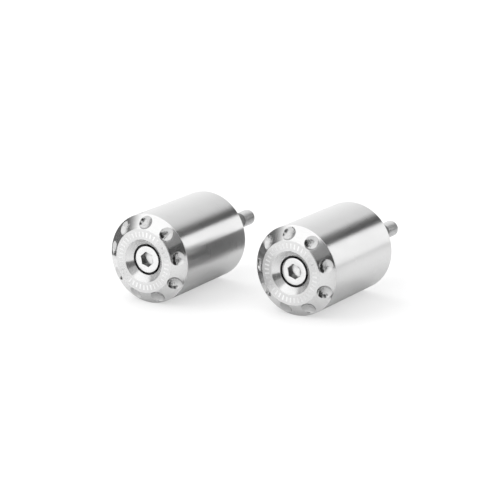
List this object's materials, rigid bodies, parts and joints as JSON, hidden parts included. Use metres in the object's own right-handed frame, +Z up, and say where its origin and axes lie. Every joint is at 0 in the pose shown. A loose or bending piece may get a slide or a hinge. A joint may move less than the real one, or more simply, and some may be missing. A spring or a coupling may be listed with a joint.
{
  "type": "handlebar end weights",
  "caption": "Turned steel handlebar end weights lying side by side, with dimpled front chamfers, dished faces and long socket cap screws through their bores.",
  "frame": {"origin": "on the surface that the pair lies on, under the middle of the pair's bounding box", "axes": "+Z up; +Y along the left weight's axis from its front face to its rear; +X from the left unit towards the right one"},
  "size_m": [0.0874, 0.087, 0.033],
  "materials": {
    "turned_steel": "fine turned and polished",
    "screw_steel": "satin stainless",
    "washer_steel": "stamped stainless",
    "locking_nylon": "matte nylon coating"
  },
  "bodies": {
    "left_weight": {"left_weight": "turned_steel"},
    "left_washer": {"left_washer": "washer_steel"},
    "left_screw": {"left_cap_screw": "screw_steel", "left_thread_lock_band": "locking_nylon"},
    "right_weight": {"right_weight": "turned_steel"},
    "right_washer": {"right_washer": "washer_steel"},
    "right_screw": {"right_cap_screw": "screw_steel", "right_thread_lock_band": "locking_nylon"}
  },
  "joints": [
    {"name": "left_screw_pull", "type": "slide", "parent": "left_weight", "child": "left_washer", "axis": [0, -1, 0], "range_m": [0, 0.065]},
    {"name": "left_screw_turn", "type": "hinge", "parent": "left_washer", "child": "left_screw", "pos_m": [-0.02723, -0.04349, 0.0165], "axis": [0, 1, 0], "continuous": true},
    {"name": "right_weight_lift", "type": "slide", "parent": "left_weight", "child": "right_weight", "axis": [0, 0, 1], "range_m": [0, 0.05]},
    {"name": "right_screw_pull", "type": "slide", "parent": "right_weight", "child": "right_washer", "axis": [-0.033, -0.9995, 0], "range_m": [0, 0.065]},
    {"name": "right_screw_turn", "type": "hinge", "parent": "right_washer", "child": "right_screw", "pos_m": [0.02581, -0.0298, 0.0165], "axis": [0.033, 0.9995, 0], "continuous": true}
  ]
}
